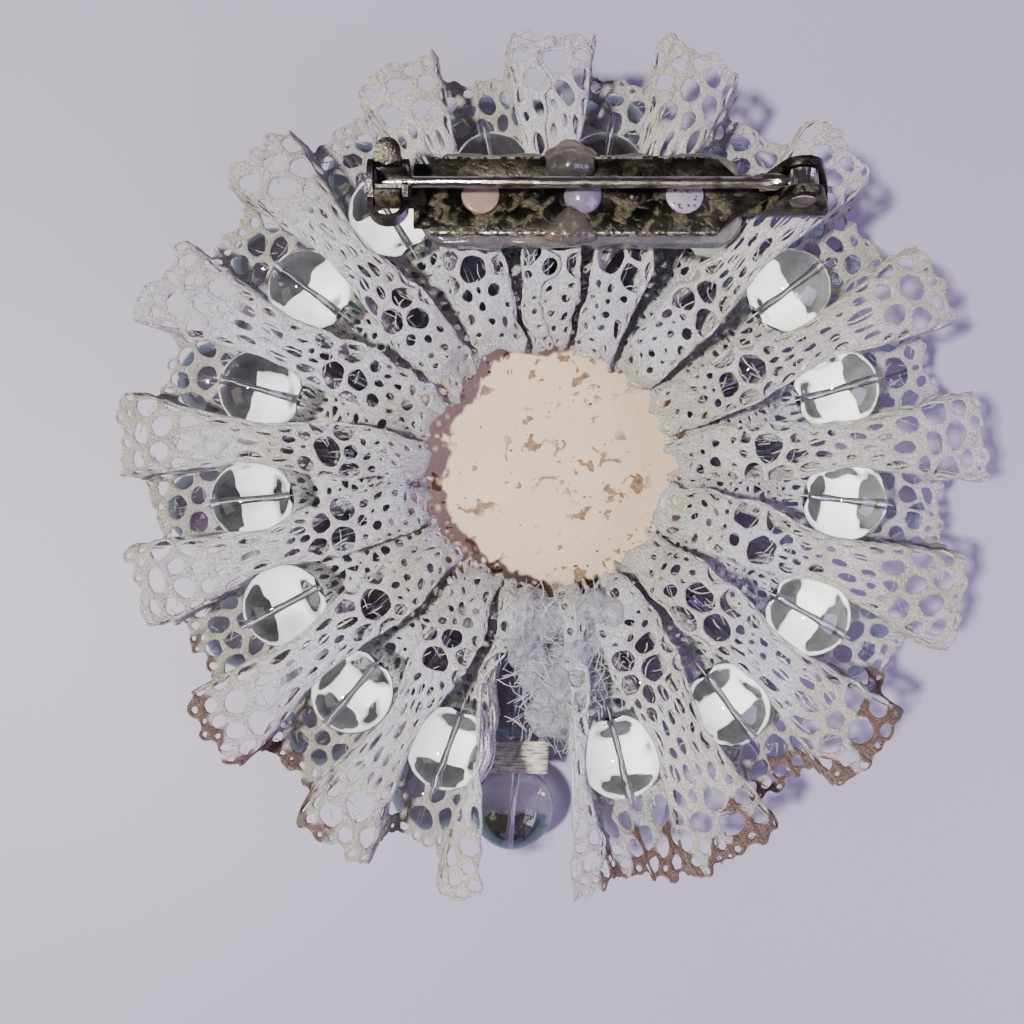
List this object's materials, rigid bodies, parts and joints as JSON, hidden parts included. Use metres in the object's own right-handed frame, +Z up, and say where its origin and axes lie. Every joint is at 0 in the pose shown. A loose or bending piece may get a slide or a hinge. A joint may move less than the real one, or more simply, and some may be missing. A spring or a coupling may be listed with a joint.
{
  "type": "lace and bead rosette brooch",
  "caption": "Rosette brooch of box-pleated lace sewn with clear round beads, lying on its front to show a bar pin with a hinged stem and a turning lock.",
  "frame": {"origin": "on the surface the brooch lies on, under the middle of the rosette", "axes": "+Z up out of the back, +X along the bar pin towards its hinge, +Y towards the side of the rosette that carries the pin"},
  "size_m": [0.0624, 0.0624, 0.0184],
  "materials": {
    "tarnished_nickel": "dark tarnished nickel plate with patches of greenish brown corrosion",
    "stem_wire": "polished nickel-plated wire, dulled by age",
    "dark_nickel": "near-black tarnished polish",
    "hot_glue": "translucent milky hot-melt glue",
    "lace": "off-white cotton lace with rust-brown stains at the rim",
    "base_plate": "smooth beige backing with brown and gold specks",
    "stone": "clear faceted acrylic",
    "nylon_thread": "clear nylon monofilament",
    "back_bead": "clear acrylic, drilled",
    "front_bead": "clear acrylic with a faint iridescent coat, drilled"
  },
  "bodies": {
    "brooch": {"pin_bar": "tarnished_nickel", "hinge_rivet": "tarnished_nickel", "glue_pad": "hot_glue", "glue_plug_left": "hot_glue", "glue_plug_middle": "hot_glue", "glue_plug_right": "hot_glue", "seam_glue": "hot_glue", "lace_ruffle": "lace", "base_disc": "base_plate", "centre_stone": "stone", "bead_threads": "nylon_thread", "inner_front_beads": "front_bead", "back_bead_01": "back_bead", "back_bead_02": "back_bead", "back_bead_03": "back_bead", "back_bead_04": "back_bead", "back_bead_05": "back_bead", "back_bead_06": "back_bead", "back_bead_07": "back_bead", "back_bead_08": "back_bead", "back_bead_09": "back_bead", "back_bead_10": "back_bead", "back_bead_11": "back_bead", "back_bead_12": "back_bead", "back_bead_13": "back_bead", "back_bead_14": "back_bead", "back_bead_15": "back_bead", "back_bead_16": "back_bead", "front_bead_01": "front_bead", "front_bead_02": "front_bead", "front_bead_03": "front_bead", "front_bead_04": "front_bead", "front_bead_05": "front_bead", "front_bead_06": "front_bead", "front_bead_07": "front_bead", "front_bead_08": "front_bead", "front_bead_09": "front_bead", "front_bead_10": "front_bead", "front_bead_11": "front_bead", "front_bead_12": "front_bead", "front_bead_13": "front_bead", "front_bead_14": "front_bead", "front_bead_15": "front_bead", "front_bead_16": "front_bead", "front_bead_17": "front_bead"},
    "stem": {"pin_stem": "stem_wire"},
    "lock": {"catch_rotor": "dark_nickel"}
  },
  "joints": [
    {"name": "pin_hinge", "type": "hinge", "parent": "brooch", "child": "stem", "pos_m": [0.0173, 0.01947, 0.01672], "axis": [0, 0.9903, -0.1392], "range_deg": [0, 105]},
    {"name": "catch_lock", "type": "hinge", "parent": "brooch", "child": "lock", "pos_m": [-0.0112, 0.01947, 0.01672], "axis": [-1, 0, 0], "range_deg": [0, 100]}
  ]
}
